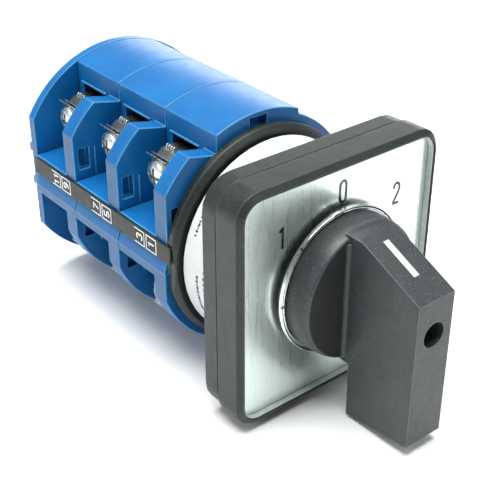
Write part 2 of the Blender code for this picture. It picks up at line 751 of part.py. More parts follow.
def make_bridges():
    """A moving bridge above and below each cam, carried on the plunger that follows the cam."""
    low = STRIP_PATH[0][1] + STRIP_THICKNESS / 2 + CONTACT_GAP_CLOSED + CAM_LIFT
    tip = CAM_RADIUS + FOLLOWER_GAP
    reach, breadth = BRIDGE_HALF
    half = [(FOLLOWER_TIP, tip), (FOLLOWER_HALF, tip + FOLLOWER_TAPER), (FOLLOWER_HALF, low),
            (reach, low), (reach, low + BRIDGE_THICKNESS)]
    outline = half + [(-x, z) for x, z in reversed(half)]
    bridge = finish_part(prism(outline, -breadth, breadth), "bridge", CONTACT_METAL)
    for number in range(SECTION_COUNT):
        place = (0, contact_plane(number), 0)
        copy_of(bridge, f"contact_bridge_{number + 1}_upper", place)
        copy_of(bridge, f"contact_bridge_{number + 1}_lower", place, (0, pi, 0))
    bpy.data.objects.remove(bridge, do_unlink=True)


def terminal_screw_frame():
    """Where a terminal screw crosses its pad, with local Z pointing out along the screw."""
    top, bottom = Vector(STRIP_PATH[-2]), Vector(STRIP_PATH[-1])
    place = top.lerp(bottom, TERMINAL_SCREW_AT)
    along = (bottom - top).normalized()
    outward = Vector((along.y, 0, -along.x))
    side = Vector((0, 1, 0))
    turn = Matrix((side.cross(outward), side, outward)).transposed().to_4x4()
    turn.translation = Vector((place.x, 0, place.y))
    return turn


def axial(radius, low, high, segments):
    """A cylinder along local Z."""
    bm = bmesh.new()
    bmesh.ops.create_cone(bm, cap_ends=True, segments=segments,
                          radius1=radius, radius2=radius, depth=high - low)
    bmesh.ops.translate(bm, vec=(0, 0, (low + high) / 2), verts=bm.verts)
    return mesh_from(bm, "axial")


def copy_to_corners(obj, name):
    """Copies of an upper-left piece in all four corners of every section."""
    for number in range(SECTION_COUNT):
        place = (0, contact_plane(number), 0)
        for corner, turn in CORNERS.items():
            copy_of(obj, f"{name}_{number + 1}_{corner}", place, turn)
    bpy.data.objects.remove(obj, do_unlink=True)


def make_fixed_contacts():
    """Twelve strips that run from a contact tip through a window to a terminal pad."""
    strip = prism(band_outline(STRIP_PATH, STRIP_THICKNESS), -STRIP_HALF, STRIP_HALF)
    hole = axial(TERMINAL_HOLE, -STRIP_THICKNESS, STRIP_THICKNESS, 12)
    hole.data.transform(terminal_screw_frame())
    cut(strip, hole)
    strip = finish_part(settle(strip, "strip"), "strip", CONTACT_METAL)
    copy_to_corners(strip, "fixed_contact")


def make_terminal_screws():
    """Twelve screws, each with the clamp plate that is captive under its head."""
    low = STRIP_THICKNESS / 2 + GAP
    high = low + CLAMP_THICKNESS
    middle = (low + high) / 2
    head_high = high + TERMINAL_HEAD_HEIGHT
    screw = box((-CLAMP_HALF, -CLAMP_HALF, low), (CLAMP_HALF, CLAMP_HALF, high))
    join(screw,
         axial(TERMINAL_SHANK, TERMINAL_SHANK_END, middle, 10),
         axial(TERMINAL_HEAD, middle, head_high, 16))
    for wide, tall in (CROSS_HALF, CROSS_HALF[::-1]):
        cut(screw, box((-wide, -tall, head_high - CROSS_DEPTH), (wide, tall, head_high + MARGIN)))
    screw = settle(screw, "terminal_screw")
    screw.data.transform(terminal_screw_frame())
    copy_to_corners(finish_part(screw, "terminal_screw", STEEL), "terminal_screw")


# ---- rear end ------------------------------------------------------------------------------
def make_number_strips():
    inner = BODY_HALF + GAP
    z_low, z_high = NUMBER_STRIP_Z
    for side, name in ((-1, "left"), (1, "right")):
        x_low, x_high = mirrored_span(side, (inner, inner + NUMBER_STRIP_THICKNESS))
        strip = box((x_low, NUMBER_STRIP_FRONT, z_low), (x_high, REAR_FRONT - GAP, z_high))
        finish_part(strip, f"number_strip_{name}", BLACK)


def rear_tabs():
    """Small ledges behind the rear wall, level with the two rows of bays."""
    boxes = []
    for side in (-1, 1):
        x_low, x_high = mirrored_span(side, REAR_TAB_X)
        for z_low, z_high in REAR_TAB_Z:
            boxes.append(box((x_low, REAR_BACK - MARGIN, z_low),
                             (x_high, REAR_BACK + REAR_TAB_DEPTH, z_high)))
    return boxes


def make_rear_cover():
    flat = degrees(acos(REAR_HALF / BODY_RADIUS))
    upper = arc(BODY_RADIUS, flat, 180 - flat, 29)
    cover = prism(upper + [(-x, -z) for x, z in upper], REAR_FRONT, REAR_BACK)
    join(cover, *rear_tabs())
    cut(cover,
        cylinder(SHAFT_BORE, REAR_FRONT - MARGIN, REAR_BACK + MARGIN, segments=20),
        *tie_bolt_holes(REAR_FRONT - MARGIN, REAR_BACK + MARGIN))
    return finish_part(settle(cover, "rear_cover"), "rear_cover", BLUE)


def make_tie_bolts():
    head_front = REAR_BACK + GAP
    head_rear = head_front + TIE_BOLT_HEAD_DEPTH
    reach = TIE_BOLT_HEAD + MARGIN
    for side, name in ((-1, "left"), (1, "right")):
        x = side * TIE_BOLT_X
        shank_rear = head_front + SLOT_DEPTH
        bolt = cylinder(TIE_BOLT_RADIUS, TIE_BOLT_FRONT, shank_rear, x, TIE_BOLT_Z, 12)
        join(bolt, cylinder(TIE_BOLT_HEAD, head_front, head_rear, x, TIE_BOLT_Z, 16))
        cut(bolt, box((x - SLOT_HALF, head_rear - SLOT_DEPTH, TIE_BOLT_Z - reach),
                      (x + SLOT_HALF, head_rear + MARGIN, TIE_BOLT_Z + reach)))
        finish_part(settle(bolt, f"tie_bolt_{name}"), f"tie_bolt_{name}", STEEL)


# ---- build ---------------------------------------------------------------------------------
clear_scene()
PARTS = new_collection(COLLECTION)
WORKSHOP = new_collection("cutters")

make_handle()
make_handle_mark()
make_handle_screw()
make_shaft()
make_front_frame()
make_fixing_screws()
make_legend_plate()
make_clear_cover()
make_detent_housing()
make_rating_label()
make_detent_star()
make_detent_rollers()
make_detent_spring()
make_flange_ring()
make_sections()
make_cams()
make_bridges()
make_fixed_contacts()
make_terminal_screws()
make_number_strips()
make_rear_cover()
make_tie_bolts()
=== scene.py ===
"""Looks of the manual transfer switch: a rotary changeover switch, positions 1-0-2.

Same frame as the CAD: metres, +Z up, the shaft along Y, the handle towards -Y.
"""
from math import acos, asin, cos, degrees, pi, radians, sin

import bmesh
import bpy
from mathutils import Matrix, Vector


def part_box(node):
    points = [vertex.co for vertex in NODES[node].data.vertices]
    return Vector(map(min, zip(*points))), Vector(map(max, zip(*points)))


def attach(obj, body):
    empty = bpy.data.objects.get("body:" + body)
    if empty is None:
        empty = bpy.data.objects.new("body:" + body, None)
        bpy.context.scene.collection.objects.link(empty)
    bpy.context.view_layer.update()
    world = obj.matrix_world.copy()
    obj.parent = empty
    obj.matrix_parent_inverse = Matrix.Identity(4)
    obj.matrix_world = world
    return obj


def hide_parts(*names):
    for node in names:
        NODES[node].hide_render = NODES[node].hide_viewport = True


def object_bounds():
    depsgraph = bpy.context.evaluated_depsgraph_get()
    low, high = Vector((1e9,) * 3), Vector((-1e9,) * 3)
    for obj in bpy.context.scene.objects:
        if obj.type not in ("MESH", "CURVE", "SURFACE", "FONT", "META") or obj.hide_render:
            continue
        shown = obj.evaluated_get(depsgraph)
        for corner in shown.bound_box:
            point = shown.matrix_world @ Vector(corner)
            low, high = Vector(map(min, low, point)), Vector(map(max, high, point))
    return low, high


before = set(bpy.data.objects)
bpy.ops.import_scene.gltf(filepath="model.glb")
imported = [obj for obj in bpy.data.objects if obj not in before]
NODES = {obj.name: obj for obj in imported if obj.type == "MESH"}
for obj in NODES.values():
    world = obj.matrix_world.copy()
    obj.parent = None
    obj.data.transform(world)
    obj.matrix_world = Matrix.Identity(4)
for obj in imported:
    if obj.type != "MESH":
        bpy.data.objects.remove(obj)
LOADED_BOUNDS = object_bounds()
MM = 0.001

BEVEL_ANGLE = radians(32)
SECTIONS = (1, 2, 3)
CORNERS = {     # turns of the upper left terminal: 1 as it is, -1 to the other side
    "upper_left": (1, 1),
    "upper_right": (-1, 1),
    "lower_left": (1, -1),
    "lower_right": (-1, -1),
}


# ---- node helpers --------------------------------------------------------------------------
class Paint:
    """A material's node tree, with a short way to add nodes and links."""

    def __init__(self, name):
        self.material = bpy.data.materials.new(name)
        self.material.use_nodes = True
        self.nodes = self.material.node_tree.nodes
        self.links = self.material.node_tree.links
        self.shader = self.nodes["Principled BSDF"]

    def add(self, kind, inputs=None, **settings):
        node = self.nodes.new(kind)
        for key, value in settings.items():
            setattr(node, key, value)
        for key, value in (inputs or {}).items():
            node.inputs[key].default_value = value
        return node

    def link(self, source, target):
        self.links.new(source, target)

    def set(self, **values):
        for key, value in values.items():
            self.shader.inputs[key.replace("_", " ")].default_value = value

    def place(self, scale=(1, 1, 1)):
        """Object coordinates in metres, stretched."""
        coordinates = self.add("ShaderNodeTexCoord")
        mapping = self.add("ShaderNodeMapping")
        mapping.inputs["Scale"].default_value = scale
        self.link(coordinates.outputs["Object"], mapping.inputs["Vector"])
        return mapping.outputs["Vector"]

    def noise(self, scale, detail=4, stretch=(1, 1, 1), roughness=0.55):
        node = self.add("ShaderNodeTexNoise",
                        {"Scale": scale, "Detail": detail, "Roughness": roughness})
        self.link(self.place(stretch), node.inputs["Vector"])
        return node.outputs["Fac"]

    def ramp(self, source, stops):
        node = self.add("ShaderNodeValToRGB")
        ramp = node.color_ramp
        while len(ramp.elements) < len(stops):
            ramp.elements.new(0.5)
        for element, (position, colour) in zip(ramp.elements, stops):
            element.position = position
            element.color = (*colour, 1)
        self.link(source, node.inputs["Fac"])
        return node.outputs["Color"]

    def remap(self, source, low, high, new_low, new_high):
        node = self.add("ShaderNodeMapRange", {"From Min": low, "From Max": high,
                                               "To Min": new_low, "To Max": new_high})
        self.link(source, node.inputs["Value"])
        return node.outputs["Result"]

    def edge_mask(self, radius, low=0.0005, high=0.06):
        """1 near edges, from the difference between the rounded and the true normal."""
        rounded = self.add("ShaderNodeBevel", {"Radius": radius}, samples=4)
        geometry = self.add("ShaderNodeNewGeometry")
        facing = self.add("ShaderNodeVectorMath", operation="DOT_PRODUCT")
        self.link(rounded.outputs["Normal"], facing.inputs[0])
        self.link(geometry.outputs["Normal"], facing.inputs[1])
        return self.remap(facing.outputs["Value"], 1 - low, 1 - high, 0, 1)

    def bump(self, source, strength, distance, edge_radius=0.0):
        node = self.add("ShaderNodeBump", {"Strength": strength, "Distance": distance})
        self.link(source, node.inputs["Height"])
        if edge_radius:
            rounded = self.add("ShaderNodeBevel", {"Radius": edge_radius}, samples=4)
            self.link(rounded.outputs["Normal"], node.inputs["Normal"])
        self.link(node.outputs["Normal"], self.shader.inputs["Normal"])


def mixed(paint, mask, first, second):
    """Mix two colours by a mask; either may be a plain colour."""
    node = paint.add("ShaderNodeMix", data_type="RGBA")
    paint.link(mask, node.inputs[0])
    for source, index in ((first, 6), (second, 7)):
        if isinstance(source, tuple):
            node.inputs[index].default_value = (*source, 1)
        else:
            paint.link(source, node.inputs[index])
    return node.outputs[2]


# ---- materials -----------------------------------------------------------------------------
def moulded_plastic(name, low, high, edge, roughness=(0.38, 0.5), grain=0.25, edge_radius=0.0003,
                    specular=0.5, painted_shelf_shade=None):
    """Moulded plastic: mottled colour, fine grain in the surface and edges lightened as a painted
    highlight.

    The optional band darkens a strip along Y as painted shade: where it starts, is darkest and
    ends, then its colour.
    """
    paint = Paint(name)
    mottle = paint.ramp(paint.noise(140, 6), [(0.3, low), (0.7, high)])
    speck = paint.noise(2600, 2)
    spotted = mixed(paint, paint.remap(speck, 0.58, 0.72, 0, 0.4), mottle, edge)
    # painted shade: a darker band along Y
    if painted_shelf_shade:
        coordinates = paint.add("ShaderNodeTexCoord")
        axes = paint.add("ShaderNodeSeparateXYZ")
        paint.link(coordinates.outputs["Object"], axes.inputs["Vector"])
        near = paint.remap(axes.outputs["Y"], painted_shelf_shade[0], painted_shelf_shade[1], 0, 1)
        far = paint.remap(axes.outputs["Y"], painted_shelf_shade[1], painted_shelf_shade[2], 1, 0)
        shade_band = paint.add("ShaderNodeMath", operation="MULTIPLY")
        paint.link(near, shade_band.inputs[0])
        paint.link(far, shade_band.inputs[1])
        spotted = mixed(paint, shade_band.outputs["Value"], spotted, painted_shelf_shade[3])
    # painted highlight: the edges are lightened towards the edge colour
    edge_highlight = paint.edge_mask(edge_radius)
    paint.link(mixed(paint, paint.remap(edge_highlight, 0, 1, 0, 0.85), spotted, edge),
               paint.shader.inputs["Base Color"])
    paint.link(paint.remap(paint.noise(420, 3), 0.3, 0.7, *roughness),
               paint.shader.inputs["Roughness"])
    paint.set(Specular_IOR_Level=specular)
    paint.bump(paint.noise(3400, 3), grain, 0.00006, edge_radius)
    return paint.material


def blue_plastic():
    """Blue moulding, paler on the faces that look sideways out of the stack: a painted sheen."""
    paint = Paint("blue_plastic")
    mottle = paint.ramp(paint.noise(70, 5), [(0.25, (0.001, 0.092, 0.290)),
                                             (0.75, (0.002, 0.130, 0.365))])
    coordinates = paint.add("ShaderNodeTexCoord")
    axes = paint.add("ShaderNodeSeparateXYZ")
    paint.link(coordinates.outputs["Normal"], axes.inputs["Vector"])
    sideways = paint.add("ShaderNodeMath", operation="ABSOLUTE")
    paint.link(axes.outputs["X"], sideways.inputs[0])
    place = paint.add("ShaderNodeSeparateXYZ")
    paint.link(coordinates.outputs["Object"], place.inputs["Vector"])
    outer = paint.add("ShaderNodeMath", operation="ABSOLUTE")
    paint.link(place.outputs["X"], outer.inputs[0])
    # painted sheen: a greyer blue on the outer faces that look sideways
    painted_sheen = paint.remap(sideways.outputs["Value"], 0.93, 0.995, 0, 1)
    far = paint.remap(outer.outputs["Value"], 0.0285, 0.029, 0, 0.85)
    both = paint.add("ShaderNodeMath", operation="MULTIPLY")
    paint.link(painted_sheen, both.inputs[0])
    paint.link(far, both.inputs[1])
    body = mixed(paint, both.outputs["Value"], mottle, (0.018, 0.085, 0.205))
    speck = paint.remap(paint.noise(1500, 2), 0.68, 0.78, 0, 0.5)
    body = mixed(paint, speck, body, (0.06, 0.27, 0.52))
    # painted highlight: lighter blue laid along the edges
    edge_highlight = paint.edge_mask(0.0005)
    paint.link(mixed(paint, paint.remap(edge_highlight, 0, 1, 0, 0.9), body, (0.12, 0.42, 0.68)),
               paint.shader.inputs["Base Color"])
    paint.link(paint.remap(paint.noise(300, 3), 0.3, 0.7, 0.36, 0.48),
               paint.shader.inputs["Roughness"])
    paint.set(Coat_Weight=0.1, Coat_Roughness=0.3, Coat_IOR=1.5, Specular_IOR_Level=0.35)
    paint.bump(paint.noise(1500, 3), 0.12, 0.00005, 0.0004)
    return paint.material


def brushed_silver():
    """Anodised aluminium, brushed vertically: fine grooves smear reflections sideways."""
    paint = Paint("brushed_silver")
    lines = paint.noise(1, 3, (2400, 30, 60), 0.7)
    paint.link(paint.ramp(lines, [(0.2, (0.82, 0.86, 0.855)), (0.8, (0.95, 0.975, 0.97))]),
               paint.shader.inputs["Base Color"])
    paint.link(paint.remap(lines, 0.3, 0.7, 0.26, 0.33), paint.shader.inputs["Roughness"])
    paint.set(Metallic=1.0)
    paint.bump(paint.noise(1, 2, (9000, 30, 120), 0.6), 0.16, 0.000010)
    return paint.material


def metal(name, low, high, roughness=(0.18, 0.34), stretch=(1, 1, 1), scale=500,
          edge_radius=0.0002):
    """Plated metal with a faint cloudy finish and edges brightened as a painted highlight."""
    paint = Paint(name)
    cloud = paint.noise(scale, 4, stretch)
    # painted highlight: near-white laid along the edges
    edge_highlight = paint.edge_mask(edge_radius)
    base = paint.ramp(cloud, [(0.3, low), (0.7, high)])
    paint.link(mixed(paint, paint.remap(edge_highlight, 0, 1, 0, 0.5), base, (0.95, 0.95, 0.93)),
               paint.shader.inputs["Base Color"])
    paint.link(paint.remap(cloud, 0.3, 0.7, *roughness), paint.shader.inputs["Roughness"])
    paint.set(Metallic=1.0)
    paint.bump(paint.noise(scale * 3, 3, stretch), 0.15, 0.00004, edge_radius)
    return paint.material


def printed(name, low, high, roughness=(0.35, 0.5), specular=0.5):
    """A printed film: almost even colour with a fine tooth."""
    paint = Paint(name)
    paint.link(paint.ramp(paint.noise(200, 4), [(0.3, low), (0.7, high)]),
               paint.shader.inputs["Base Color"])
    paint.link(paint.remap(paint.noise(500, 2), 0.3, 0.7, *roughness),
               paint.shader.inputs["Roughness"])
    paint.set(Specular_IOR_Level=specular)
    paint.bump(paint.noise(1800, 2), 0.1, 0.00003)
    return paint.material


def clear_plastic():
    """The window: a clear sheet that mostly shows as its reflections."""
    paint = Paint("clear_window")
    paint.nodes.remove(paint.shader)
    output = paint.nodes["Material Output"]
    smudge = paint.remap(paint.noise(90, 3), 0.3, 0.7, 0.015, 0.05)
    glossy = paint.add("ShaderNodeBsdfGlossy", {"Color": (0.95, 1, 0.99, 1)})
    paint.link(smudge, glossy.inputs["Roughness"])
    through = paint.add("ShaderNodeBsdfTransparent", {"Color": (0.965, 0.985, 0.98, 1)})
    fresnel = paint.add("ShaderNodeFresnel", {"IOR": 1.42})
    both = paint.add("ShaderNodeMixShader")
    geometry = paint.add("ShaderNodeNewGeometry")
    outside = paint.remap(geometry.outputs["Backfacing"], 0, 1, 1, 0)
    facing = paint.add("ShaderNodeMath", operation="MULTIPLY")
    paint.link(fresnel.outputs["Fac"], facing.inputs[0])
    paint.link(outside, facing.inputs[1])
    paint.link(facing.outputs["Value"], both.inputs["Fac"])
    paint.link(through.outputs["BSDF"], both.inputs[1])
    paint.link(glossy.outputs["BSDF"], both.inputs[2])
    paint.link(both.outputs["Shader"], output.inputs["Surface"])
    return paint.material


MATERIALS = {
    # painted shade: the knob's front face beside the grip is darkened in a band along Y
    "handle": moulded_plastic("handle_plastic", (0.019, 0.023, 0.025), (0.028, 0.033, 0.035),
                              (0.20, 0.225, 0.22), (0.38, 0.5), 0.45, 0.0003,
                              painted_shelf_shade=(-0.0222, -0.0211, -0.0206, (0.010, 0.010, 0.012))),
    "black": moulded_plastic("black_plastic", (0.009, 0.014, 0.013), (0.016, 0.022, 0.021),
                             (0.085, 0.105, 0.10), (0.36, 0.48), 0.4, 0.0003, 0.38),
    "blue": blue_plastic(),
    "silver": brushed_silver(),
    "zinc": metal("zinc_plate", (0.42, 0.46, 0.45), (0.76, 0.80, 0.79), (0.2, 0.38),
                  scale=900),
    "steel": metal("drawn_steel", (0.42, 0.42, 0.42), (0.58, 0.58, 0.57), (0.25, 0.4),
                   (1, 0.05, 1)),
    "contact": metal("plated_contact", (0.22, 0.23, 0.22), (0.36, 0.37, 0.35), (0.28, 0.42)),
    "cream": moulded_plastic("cream_plastic", (0.55, 0.50, 0.36), (0.64, 0.60, 0.46),
                             (0.8, 0.78, 0.66)),
    "white": printed("white_inlay", (0.80, 0.82, 0.81), (0.88, 0.89, 0.88)),
    "label": printed("label_film", (0.56, 0.58, 0.585), (0.64, 0.655, 0.66), (0.3, 0.45), 0.35),
    "strip": printed("strip_film", (0.026, 0.028, 0.024), (0.040, 0.042, 0.037), (0.45, 0.6),
                     0.3),
    "ink": printed("black_ink", (0.008, 0.009, 0.009), (0.015, 0.017, 0.017), (0.4, 0.55), 0.3),
    "print": printed("white_ink", (0.74, 0.77, 0.76), (0.88, 0.90, 0.89)),
    "window": clear_plastic(),
    # painted highlight: a bright finish standing for the highlights on the clear cover's edge
    # round the knob
    "rim": metal("rim_painted_highlight", (0.80, 0.82, 0.82), (0.93, 0.95, 0.95), (0.08, 0.16)),
    # painted highlight: a pale opaque finish standing for the light line along the clear cover's
    # edge
    "skirt_highlight": printed("skirt_painted_highlight", (0.50, 0.56, 0.555), (0.62, 0.67, 0.665), (0.2, 0.35)),
}


# ---- mesh helpers --------------------------------------------------------------------------
def new_object(name, mesh, finish):
    obj = bpy.data.objects.new(name, mesh)
    bpy.context.scene.collection.objects.link(obj)
    mesh.materials.clear()
    mesh.materials.append(MATERIALS[finish])
    return obj


def arc(radius, start, end, steps, centre=(0, 0)):
    points = []
    for i in range(steps + 1):
        angle = radians(start + (end - start) * i / steps)
        points.append((centre[0] + radius * cos(angle), centre[1] + radius * sin(angle)))
    return points


def prism(outline, low, high, axis="Y"):
    """A flat outline given a thickness: (x, z) along Y, (y, z) along X or (x, y) along Z."""
    def at(point, depth):
        if axis == "Y":
            return (point[0], depth, point[1])
        if axis == "X":
            return (depth, point[0], point[1])
        return (point[0], point[1], depth)

    bm = bmesh.new()
    first = [bm.verts.new(at(point, low)) for point in outline]
    second = [bm.verts.new(at(point, high)) for point in outline]
    count = len(outline)
    bm.faces.new(first)
    bm.faces.new(second[::-1])
    for i in range(count):
        j = (i + 1) % count
        bm.faces.new((first[j], first[i], second[i], second[j]))
    bmesh.ops.recalc_face_normals(bm, faces=bm.faces)
    mesh = bpy.data.meshes.new("prism")
    bm.to_mesh(mesh)
    bm.free()
    return mesh


def block(low, high):
    outline = [(low[0], low[2]), (high[0], low[2]), (high[0], high[2]), (low[0], high[2])]
    return prism(outline, low[1], high[1])


def lathe(profile, steps=64):
    """A profile of (radius, height) turned round Z; its ends lie on the axis."""
    bm = bmesh.new()
    rings = []
    for radius, height in profile:
        if radius < 1e-7:
            rings.append([bm.verts.new((0, 0, height))])
            continue
        rings.append([bm.verts.new((radius * cos(2 * pi * i / steps),
                                    radius * sin(2 * pi * i / steps), height))
                      for i in range(steps)])
    for lower, upper in zip(rings, rings[1:]):
        for i in range(steps):
            j = (i + 1) % steps
            corners = [lower[i % len(lower)], lower[j % len(lower)],
                       upper[j % len(upper)], upper[i % len(upper)]]
            unique = list(dict.fromkeys(corners))
            if len(unique) > 2:
                bm.faces.new(unique)
    bmesh.ops.recalc_face_normals(bm, faces=bm.faces)
    mesh = bpy.data.meshes.new("lathe")
    bm.to_mesh(mesh)
    bm.free()
    return mesh


def along_y(mesh, y=0):
    """Turn a lathe so that its height runs along -Y, towards the handle."""
    mesh.transform(Matrix.Translation((0, y, 0)) @ Matrix.Rotation(pi / 2, 4, "X"))
    return mesh


def tidy_mesh(mesh, angle=1.0):
    bm = bmesh.new()
    bm.from_mesh(mesh)
    bmesh.ops.remove_doubles(bm, verts=bm.verts, dist=2e-6)
    bmesh.ops.dissolve_limit(bm, angle_limit=radians(angle), verts=bm.verts, edges=bm.edges)
    bmesh.ops.recalc_face_normals(bm, faces=bm.faces)
    bm.to_mesh(mesh)
    bm.free()
    return mesh


def boolean(mesh, operation, *others):
    """Apply Boolean steps to a mesh and return the result."""
    base = bpy.data.objects.new("base", mesh)
    bpy.context.scene.collection.objects.link(base)
    tools = []
    for other in others:
        tool = bpy.data.objects.new("tool", other)
        bpy.context.scene.collection.objects.link(tool)
        tools.append(tool)
        step = base.modifiers.new("cut", "BOOLEAN")
        step.operation = operation
        step.object = tool
        step.solver = "EXACT"
    made = applied(base)
    for obj in (base, *tools):
        bpy.data.objects.remove(obj, do_unlink=True)
    return made


def applied(obj):
    bpy.context.view_layer.update()
    evaluated = obj.evaluated_get(bpy.context.evaluated_depsgraph_get())
    return bpy.data.meshes.new_from_object(evaluated)


def rounded(mesh, width, segments=2, angle=BEVEL_ANGLE):
    """The mesh with its sharp edges rounded."""
    obj = bpy.data.objects.new("rounding", mesh)
    bpy.context.scene.collection.objects.link(obj)
    step = obj.modifiers.new("bevel", "BEVEL")
    step.width = width
    step.segments = segments
    step.limit_method = "ANGLE"
    step.angle_limit = angle
    step.use_clamp_overlap = True
    made = applied(obj)
    bpy.data.objects.remove(obj, do_unlink=True)
    return made


def smooth(mesh, angle=35):
    """Smooth shading that leaves the large faces flat."""
    mesh.shade_smooth()
    mesh.set_sharp_from_angle(angle=radians(angle))
    obj = bpy.data.objects.new("smoothing", mesh)
    bpy.context.scene.collection.objects.link(obj)
    step = obj.modifiers.new("normals", "WEIGHTED_NORMAL")
    step.weight = 100
    step.keep_sharp = True
    made = applied(obj)
    bpy.data.objects.remove(obj, do_unlink=True)
    return made


def piece(name, mesh, finish, body, stands_for=(), angle=35):
    """A finished piece that rides on a CAD body."""
    obj = new_object(name, smooth(mesh, angle), finish)
    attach(obj, body)
    if stands_for:
        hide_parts(*stands_for)
    return obj


def from_node(node, finish, body, width=0.0002, segments=2):
    """A CAD node's own shape with its edges rounded."""
    mesh = tidy_mesh(NODES[node].data.copy())
    if width:
        mesh = rounded(mesh, width, segments)
    return piece(f"{node}_look", mesh, finish, body, (node,))


def paint_node(node, finish):
    NODES[node].data.materials.clear()
    NODES[node].data.materials.append(MATERIALS[finish])


# ---- outlines ------------------------------------------------------------------------------
def rounded_square(half, radius, steps=10):
    inner = half - radius
    points = []
    for x, z, start in ((inner, inner, 0), (-inner, inner, 90), (-inner, -inner, 180),
                        (inner, -inner, 270)):
        points += arc(radius, start, start + 90, steps, (x, z))
    return points


def tube(radius, front, rear, x=0, z=0, steps=40):
    """A plain cylinder along Y, used as a cutter."""
    return prism(arc(radius, 0, 360 - 360 / steps, steps - 1, (x, z)), front, rear)


def ribbon(path, width, low, high, closed=False):
    """A stroke of even width along a path of (x, z), between two depths along Y."""
    points = [Vector(point) for point in path]
    count = len(points)
    left, right = [], []
    for i, point in enumerate(points):
        before = points[i - 1] if closed or i else point
        after = points[(i + 1) % count] if closed or i < count - 1 else point
        along = (after - before).normalized()
        normal = Vector((-along.y, along.x)) * width / 2
        left.append(point + normal)
        right.append(point - normal)
    bm = bmesh.new()
    rings = []
    for a, b in zip(left, right):
        rings.append([bm.verts.new((a.x, low, a.y)), bm.verts.new((b.x, low, b.y)),
                      bm.verts.new((b.x, high, b.y)), bm.verts.new((a.x, high, a.y))])
    spans = list(zip(rings, rings[1:] + (rings[:1] if closed else [])))
    for first, second in spans:
        for i in range(4):
            j = (i + 1) % 4
            bm.faces.new((first[i], first[j], second[j], second[i]))
    if not closed:
        bm.faces.new(rings[0])
        bm.faces.new(rings[-1][::-1])
    bmesh.ops.recalc_face_normals(bm, faces=bm.faces)
    mesh = bpy.data.meshes.new("ribbon")
    bm.to_mesh(mesh)
    bm.free()
    return mesh


def merged(meshes):
    """Several meshes in one, side by side."""
    bm = bmesh.new()
    for mesh in meshes:
        bm.from_mesh(mesh)
    made = bpy.data.meshes.new("merged")
    bm.to_mesh(made)
    bm.free()
    return made


def digit_strokes(character):
    """Centre lines of a plain numeral in a box 1 wide and 2 high, centred on the origin."""
    bowl = [(0.5 * sin(radians(a)), 0.5 * cos(radians(a))) for a in range(0, 360, 15)]
    upper = [(x, z + 0.5) for x, z in bowl]
    lower = [(x, z - 0.5) for x, z in bowl]
    strokes = {
        "0": [([(x, z + (0.5 if z > 0 else -0.5)) for x, z in bowl], True)],
        "1": [([(-0.38, 0.62), (0.1, 1), (0.1, -1)], False)],
        "2": [([(-0.5, 0.5), (-0.44, 0.78), (-0.25, 0.95), (0, 1), (0.25, 0.95), (0.44, 0.78),
                (0.5, 0.5), (0.4, 0.15), (-0.5, -0.95)], False),
              ([(-0.55, -1), (0.5, -1)], False)],
        "3": [(upper[20:] + upper[:12], False), (lower[1:17], False)],
        "5": [([(0.45, 1), (-0.4, 1), (-0.45, 0.1)], False), (lower[20:] + lower[:17], False)],
        "7": [([(-0.5, 1), (0.5, 1), (-0.15, -1)], False)],
        "9": [(upper, True), ([(0.5, 0.5), (0.45, -0.3), (0.2, -0.85), (-0.3, -1)], False)],
    }
    return strokes[character]


def numeral(text, centre, size, stroke, low, high, turn=0.0, spacing=1.5):
    """A numeral of that width and height, turned in its plane, as thin ink."""
    meshes = []
    start = -(len(text) - 1) * spacing / 2
    for i, character in enumerate(text):
        for path, closed in digit_strokes(character):
            placed = []
            for x, z in path:
                u, v = (x + start + i * spacing) * size[0], z * size[1] / 2
                placed.append((centre[0] + u * cos(turn) - v * sin(turn),
                               centre[1] + u * sin(turn) + v * cos(turn)))
            meshes.append(ribbon(placed, stroke, low, high, closed))
    return merged(meshes)


# ---- front ---------------------------------------------------------------------------------
RIM = (0.0187, 0.0197)
COVER_HOLE = 0.0165
DIAL_NUMERALS = {"0": (0.0010, 0.0230), "1": (-0.0178, 0.0171), "2": (0.0195, 0.0164)}
DIAL_NUMERAL_SIZE = (0.0020, 0.0056)
DIAL_NUMERAL_STROKE = 0.00072
DIAL_HOLE = 0.0145
COVER_CORNER = 0.0047
PLATE_CORNER = 0.0046
RIM_NOTCHES = (135, 180, 45, 0)
RIM_NOTCH_HALF_REACH = 0.0004
RIM_STOP_ANGLE = 97


def clear_cover():
    low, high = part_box("clear_cover")
    front = low.y + 0.0008
    half = high.x
    sheet = boolean(prism(rounded_square(half, COVER_CORNER), front, high.y), "DIFFERENCE",
                    tube(COVER_HOLE, front - MM, high.y + MM, steps=72))
    sheet = rounded(tidy_mesh(sheet), 0.0002, 2)
    piece("cover_window", sheet, "window", "housing", ("clear_cover",))
    skirt = boolean(prism(rounded_square(half + 0.0002, 0.0049), front + 0.0002, high.y + 0.0002),
                    "DIFFERENCE", prism(rounded_square(half - 0.0001, 0.0046), front - MM,
                                        high.y + MM))
    # painted highlight: a pale opaque skirt round the clear window's edge
    piece("cover_skirt", tidy_mesh(skirt), "skirt_highlight", "housing")
    cover_rim(low.y)


